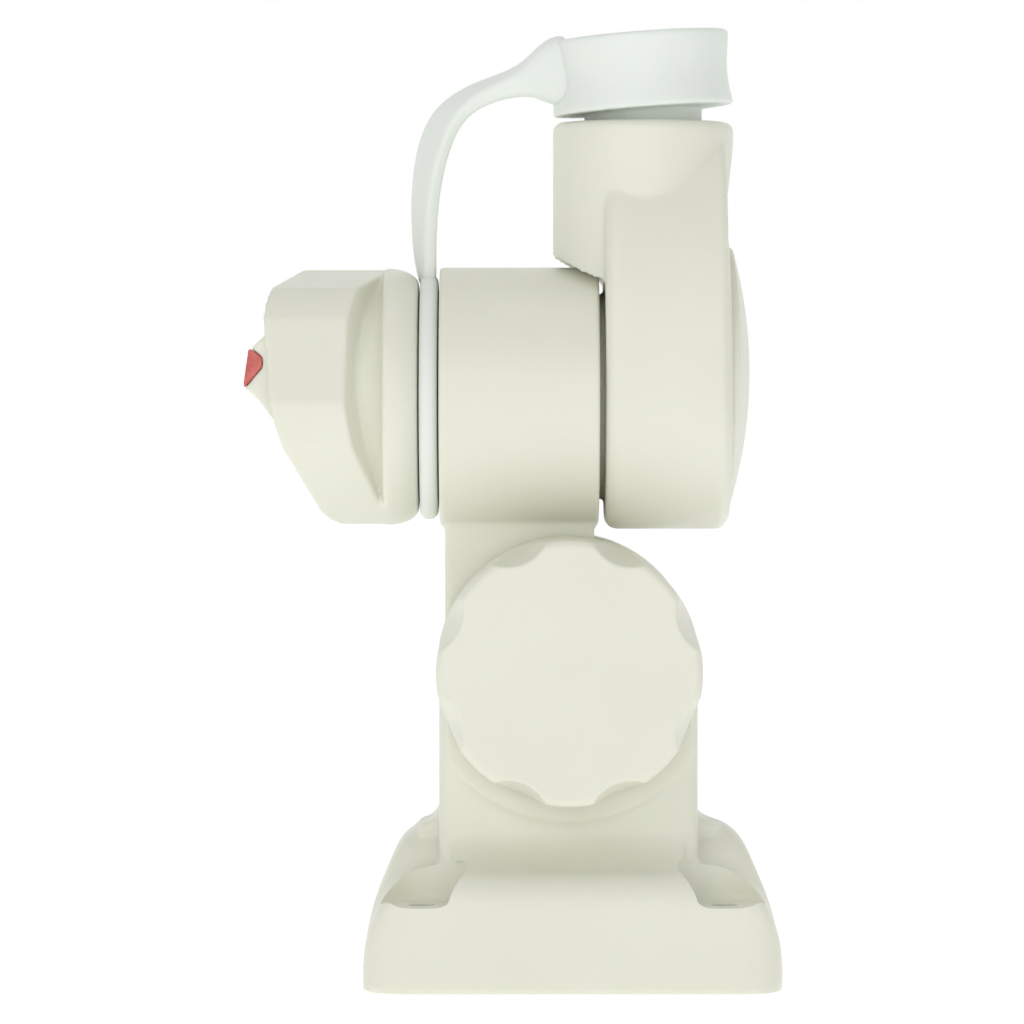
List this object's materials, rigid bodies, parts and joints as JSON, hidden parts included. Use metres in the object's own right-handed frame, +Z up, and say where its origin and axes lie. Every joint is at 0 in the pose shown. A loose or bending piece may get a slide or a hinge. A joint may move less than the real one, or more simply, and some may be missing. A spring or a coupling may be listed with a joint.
{
  "type": "umbrella swivel bracket",
  "caption": "Screw-down foot with a tilting arm and a swivelling socket head that holds an umbrella or light pole, with two hand clamps and a tethered socket plug.",
  "frame": {"origin": "centre of the foot's underside", "axes": "+Z up through the pole socket, +X towards the head's cover, -Y towards the tilt knob"},
  "size_m": [0.111, 0.0737, 0.1987],
  "materials": {
    "cream_plastic": "satin moulded",
    "white_rubber": "soft satin",
    "red_plastic": "smooth",
    "acetal": "smooth",
    "stainless_steel": "brushed",
    "brass": "turned brass"
  },
  "bodies": {
    "base": {"pedestal": "cream_plastic", "hinge_bolt": "stainless_steel", "friction_ring_front": "acetal", "friction_ring_rear": "acetal"},
    "knob_carrier": {"knob_washer": "stainless_steel"},
    "tilt_knob": {"tilt_knob": "cream_plastic", "knob_insert": "brass"},
    "arm": {"swivel_arm": "cream_plastic", "spindle_bush": "acetal", "clutch_ring_fixed": "acetal", "clutch_spring": "stainless_steel"},
    "head": {"socket_head": "cream_plastic", "clutch_ring_moving": "acetal", "spindle": "stainless_steel", "head_cover": "cream_plastic"},
    "tether": {"tether_ring": "white_rubber", "tether_strap": "white_rubber"},
    "plug": {"socket_plug": "white_rubber"},
    "handle_carrier": {"thrust_washer": "stainless_steel"},
    "clamp_handle": {"clamp_handle": "cream_plastic", "handle_insert": "brass", "pointer_lens": "red_plastic"}
  },
  "joints": [
    {"name": "tilt_knob_travel", "type": "slide", "parent": "base", "child": "knob_carrier", "axis": [0, -1, 0], "range_m": [0, 0.00187]},
    {"name": "tilt_knob_turn", "type": "hinge", "parent": "knob_carrier", "child": "tilt_knob", "pos_m": [0, 0, 0.0655], "axis": [0, -1, 0], "range_deg": [0, 540]},
    {"name": "arm_tilt", "type": "hinge", "parent": "base", "child": "arm", "pos_m": [0, 0, 0.0655], "axis": [0, 1, 0], "range_deg": [-70, 75]},
    {"name": "head_swivel", "type": "hinge", "parent": "arm", "child": "head", "pos_m": [0, 0, 0.1218], "axis": [1, 0, 0], "range_deg": [-90, 90]},
    {"name": "tether_swivel", "type": "hinge", "parent": "arm", "child": "tether", "pos_m": [0, 0, 0.1218], "axis": [1, 0, 0], "range_deg": [-90, 90]},
    {"name": "plug_lift", "type": "slide", "parent": "tether", "child": "plug", "axis": [0, 0, 1], "range_m": [0, 0.016]},
    {"name": "handle_travel", "type": "slide", "parent": "arm", "child": "handle_carrier", "axis": [-1, 0, 0], "range_m": [0, 0.00125]},
    {"name": "clamp_handle_turn", "type": "hinge", "parent": "handle_carrier", "child": "clamp_handle", "pos_m": [0, 0, 0.1218], "axis": [-1, 0, 0], "range_deg": [0, 360]}
  ],
  "couplings": [
    {"joint": "tilt_knob_turn", "follows": "tilt_knob_travel", "rad_per_m": 5026.5},
    {"joint": "tether_swivel", "follows": "head_swivel", "ratio": 1},
    {"joint": "clamp_handle_turn", "follows": "handle_travel", "rad_per_m": 5026.5}
  ]
}
